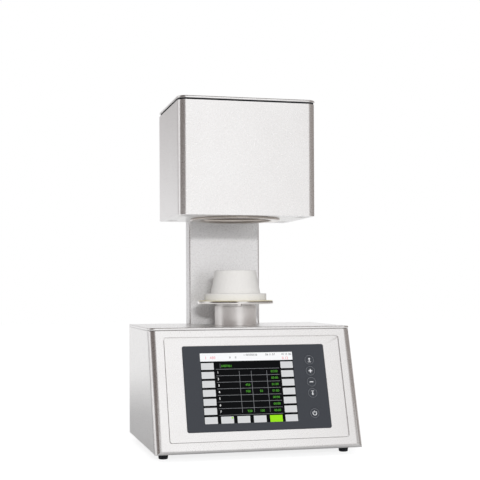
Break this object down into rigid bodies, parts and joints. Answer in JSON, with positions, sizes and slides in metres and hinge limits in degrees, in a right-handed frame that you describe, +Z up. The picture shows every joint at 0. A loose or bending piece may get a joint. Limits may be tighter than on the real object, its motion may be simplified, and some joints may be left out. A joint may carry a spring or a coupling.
{
  "type": "dental porcelain furnace",
  "caption": "Bench furnace: sloping control base, rear column, boxed heating head above and a ceramic firing plug on a lift table that rises into the chamber.",
  "frame": {"origin": "on the bench, under the centre of the base's outline", "axes": "+Z up, X to the right as seen from the front, Y to the back"},
  "size_m": [0.309, 0.2564, 0.528],
  "materials": {
    "white_enamel": "satin white powder coat",
    "column_enamel": "satin light grey powder coat",
    "galvanised_sheet": "zinc-coated sheet",
    "slate_glass": "slate-grey printed front",
    "display_black": "dark screen",
    "circuit_green": "coated circuit board",
    "rubber": "moulded black rubber",
    "silicone": "cream silicone",
    "polished_steel": "turned and polished stainless steel",
    "satin_aluminium": "satin aluminium",
    "ground_steel": "ground steel",
    "bronze": "turned bearing bronze",
    "fibre_ceramic": "fired ceramic fibre",
    "porcelain": "glazed porcelain",
    "quartz": "fused quartz",
    "heating_alloy": "oxidised resistance strip",
    "black_plastic": "moulded black plastic"
  },
  "bodies": {
    "furnace": {"base_top_plate": "white_enamel", "board_spacers": "ground_steel", "chamber_pot": "galvanised_sheet", "column_channel": "column_enamel", "column_rear_cover": "column_enamel", "control_board": "circuit_green", "control_glass": "slate_glass", "display_module": "display_black", "drive_belt": "rubber", "fan_frame": "black_plastic", "fan_guard": "ground_steel", "feet": "rubber", "floor_pan": "galvanised_sheet", "foot_screws": "ground_steel", "front_frame": "white_enamel", "front_plate": "white_enamel", "guide_bush": "bronze", "guide_rods": "ground_steel", "head_floor": "galvanised_sheet", "head_housing": "white_enamel", "head_lid": "white_enamel", "heater_terminals": "porcelain", "heating_coil": "heating_alloy", "key_board": "circuit_green", "left_side_panel": "white_enamel", "lid_gasket": "rubber", "lift_base_plate": "satin_aluminium", "lift_bridge": "satin_aluminium", "lift_motor": "black_plastic", "lift_sleeve": "polished_steel", "machine_screws": "ground_steel", "motor_bracket": "satin_aluminium", "muffle_insulation": "fibre_ceramic", "panel_carrier": "galvanised_sheet", "power_inlet": "black_plastic", "power_supply": "galvanised_sheet", "pump_socket": "black_plastic", "quartz_liner": "quartz", "rear_panel_left": "galvanised_sheet", "rear_panel_right": "galvanised_sheet", "right_side_panel": "white_enamel", "seal_flange": "polished_steel", "thermocouple": "porcelain", "vacuum_valve": "bronze"},
    "lift": {"lift_tube": "satin_aluminium", "lift_table": "polished_steel", "table_seal": "silicone", "firing_plug": "fibre_ceramic", "lift_carriage": "satin_aluminium", "spindle_nut": "bronze", "carriage_bushes": "bronze"},
    "spindle": {"lift_spindle": "ground_steel"},
    "motor_drive": {"motor_pulley": "satin_aluminium"},
    "main_switch": {"main_switch_rocker": "black_plastic"},
    "fan": {"fan_rotor": "black_plastic"},
    "key_table_up_body": {"key_table_up": "slate_glass"},
    "key_plus_body": {"key_plus": "slate_glass"},
    "key_minus_body": {"key_minus": "slate_glass"},
    "key_table_down_body": {"key_table_down": "slate_glass"},
    "key_power_body": {"key_power": "slate_glass"}
  },
  "joints": [
    {"name": "table_lift", "type": "slide", "parent": "furnace", "child": "lift", "axis": [0, 0, 1], "range_m": [0, 0.124]},
    {"name": "spindle_spin", "type": "hinge", "parent": "furnace", "child": "spindle", "pos_m": [0, 0.028, 0.1], "axis": [0, 0, 1], "range_deg": [-1, 5582]},
    {"name": "motor_spin", "type": "hinge", "parent": "furnace", "child": "motor_drive", "pos_m": [0, -0.02797, 0.03], "axis": [0, 0, 1], "range_deg": [-1, 8682]},
    {"name": "fan_spin", "type": "hinge", "parent": "furnace", "child": "fan", "pos_m": [-0.1057, 0.106, 0.1001], "axis": [0, 1, 0], "continuous": true},
    {"name": "main_switch_rock", "type": "hinge", "parent": "furnace", "child": "main_switch", "pos_m": [0.1247, 0.1092, 0.082], "axis": [1, 0, 0], "range_deg": [-20, 0]},
    {"name": "key_table_up_press", "type": "slide", "parent": "furnace", "child": "key_table_up_body", "axis": [0, 0.9462, -0.3235], "range_m": [0, 0.0005], "stiffness_N_per_m": 1000},
    {"name": "key_plus_press", "type": "slide", "parent": "furnace", "child": "key_plus_body", "axis": [0, 0.9462, -0.3235], "range_m": [0, 0.0005], "stiffness_N_per_m": 1000},
    {"name": "key_minus_press", "type": "slide", "parent": "furnace", "child": "key_minus_body", "axis": [0, 0.9462, -0.3235], "range_m": [0, 0.0005], "stiffness_N_per_m": 1000},
    {"name": "key_table_down_press", "type": "slide", "parent": "furnace", "child": "key_table_down_body", "axis": [0, 0.9462, -0.3235], "range_m": [0, 0.0005], "stiffness_N_per_m": 1000},
    {"name": "key_power_press", "type": "slide", "parent": "furnace", "child": "key_power_body", "axis": [0, 0.9462, -0.3235], "range_m": [0, 0.0005], "stiffness_N_per_m": 1000}
  ],
  "couplings": [
    {"joint": "spindle_spin", "follows": "table_lift", "rad_per_m": 785.4},
    {"joint": "motor_spin", "follows": "table_lift", "rad_per_m": 1221.7}
  ]
}
